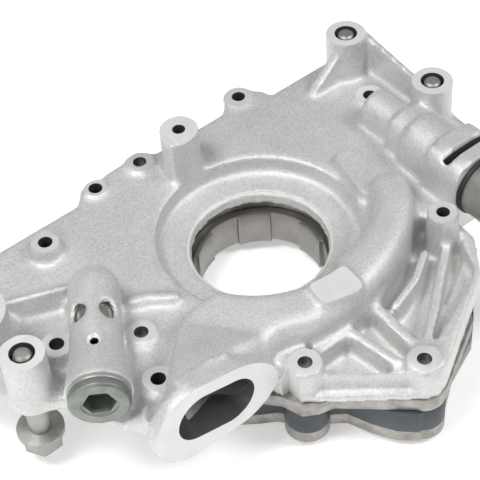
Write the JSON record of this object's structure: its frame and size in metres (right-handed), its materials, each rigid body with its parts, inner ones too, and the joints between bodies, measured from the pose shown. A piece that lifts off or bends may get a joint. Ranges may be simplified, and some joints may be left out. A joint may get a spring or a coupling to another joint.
{
  "type": "engine oil pump",
  "caption": "Crankshaft-driven vane oil pump with cast housing, swinging slide ring, relief valve and control solenoid.",
  "frame": {"origin": "on the crank axis, in the joint plane between the rear housing and the pump stack", "axes": "+Z towards the engine block, -Y down towards the sump, +X along the housing's top edge"},
  "size_m": [0.2202, 0.1604, 0.0587],
  "materials": {
    "cast_aluminium": "as cast, fine grain",
    "machined_aluminium": "machined",
    "washer_aluminium": "pressed ring",
    "dark_steel": "dark sintered, slightly oily",
    "sintered_steel": "sintered steel",
    "bright_steel": "ground",
    "zinc_steel": "zinc plated",
    "spring_steel": "drawn wire",
    "black_plastic": "moulded",
    "black_rubber": "moulded",
    "coil_brown": "wound copper under tape",
    "terminal_brass": "tinned blades"
  },
  "bodies": {
    "housing": {"rear_housing": "cast_aluminium", "port_plate": "machined_aluminium", "pump_body": "dark_steel", "cover_plate": "machined_aluminium", "slide_pivot_pin": "bright_steel", "slide_spring": "spring_steel", "relief_plug": "bright_steel", "relief_plug_washer": "washer_aluminium", "relief_spring": "spring_steel", "solenoid_sleeve": "bright_steel", "solenoid_o_rings": "black_rubber", "solenoid_spring": "spring_steel", "solenoid_clip": "bright_steel", "solenoid_seal_ring": "black_rubber", "solenoid_can": "zinc_steel", "solenoid_coil": "coil_brown", "solenoid_connector": "black_plastic", "solenoid_terminals": "terminal_brass", "stack_screws": "zinc_steel", "dowel_pins": "bright_steel"},
    "rotor": {"drive_rotor": "sintered_steel"},
    "ring": {"slide_ring": "sintered_steel", "slide_seal": "black_plastic"},
    "relief_piston": {"relief_piston": "bright_steel"},
    "spool": {"solenoid_spool": "bright_steel", "solenoid_plunger": "bright_steel"},
    "vane_1": {"vane_1": "bright_steel"},
    "vane_2": {"vane_2": "bright_steel"},
    "vane_3": {"vane_3": "bright_steel"},
    "vane_4": {"vane_4": "bright_steel"},
    "vane_5": {"vane_5": "bright_steel"},
    "vane_6": {"vane_6": "bright_steel"},
    "vane_7": {"vane_7": "bright_steel"},
    "bolt_1": {"mounting_bolt_1": "zinc_steel"},
    "bolt_2": {"mounting_bolt_2": "zinc_steel"},
    "bolt_3": {"mounting_bolt_3": "zinc_steel"}
  },
  "joints": [
    {"name": "rotor_spin", "type": "hinge", "parent": "housing", "child": "rotor", "pos_m": [0, 0, -0.0112], "axis": [0, 0, 1], "continuous": true},
    {"name": "slide_ring_swing", "type": "hinge", "parent": "housing", "child": "ring", "pos_m": [0.03585, 0.03116, -0.0112], "axis": [0, 0, -1], "range_deg": [0, 3.86], "stiffness_Nm_per_rad": 40, "springref_deg": -2.86, "deforming": ["slide_spring"]},
    {"name": "relief_piston_slide", "type": "slide", "parent": "housing", "child": "relief_piston", "axis": [-0.5446, -0.8387, 0], "range_m": [0, 0.01], "stiffness_N_per_m": 6000, "springref_m": -0.004, "deforming": ["relief_spring"]},
    {"name": "solenoid_spool_slide", "type": "slide", "parent": "housing", "child": "spool", "axis": [0, 1, 0], "range_m": [0, 0.003], "stiffness_N_per_m": 1500, "springref_m": -0.002, "deforming": ["solenoid_spring"]},
    {"name": "vane_1_slide", "type": "slide", "parent": "rotor", "child": "vane_1", "axis": [0.6811, -0.7322, 0], "range_m": [0, 0.00315]},
    {"name": "vane_2_slide", "type": "slide", "parent": "rotor", "child": "vane_2", "axis": [0.9971, 0.076, 0], "range_m": [0, 0.00315]},
    {"name": "vane_3_slide", "type": "slide", "parent": "rotor", "child": "vane_3", "axis": [0.5623, 0.827, 0], "range_m": [0, 0.00242]},
    {"name": "vane_4_slide", "type": "slide", "parent": "rotor", "child": "vane_4", "axis": [-0.296, 0.9552, 0], "range_m": [0, 0.00034]},
    {"name": "vane_5_slide", "type": "slide", "parent": "rotor", "child": "vane_5", "axis": [-0.9313, 0.3642, 0], "range_m": [0, 0.00034]},
    {"name": "vane_6_slide", "type": "slide", "parent": "rotor", "child": "vane_6", "axis": [-0.8654, -0.5011, 0], "range_m": [0, 0.00242]},
    {"name": "vane_7_slide", "type": "slide", "parent": "rotor", "child": "vane_7", "axis": [-0.1478, -0.989, 0], "range_m": [0, 0.00315]},
    {"name": "mounting_bolt_1_slide", "type": "slide", "parent": "housing", "child": "bolt_1", "axis": [0, 0, 1], "range_m": [0, 0.0093]},
    {"name": "mounting_bolt_2_slide", "type": "slide", "parent": "housing", "child": "bolt_2", "axis": [0, 0, 1], "range_m": [0, 0.0093]},
    {"name": "mounting_bolt_3_slide", "type": "slide", "parent": "housing", "child": "bolt_3", "axis": [0, 0, 1], "range_m": [0, 0.0158]}
  ]
}
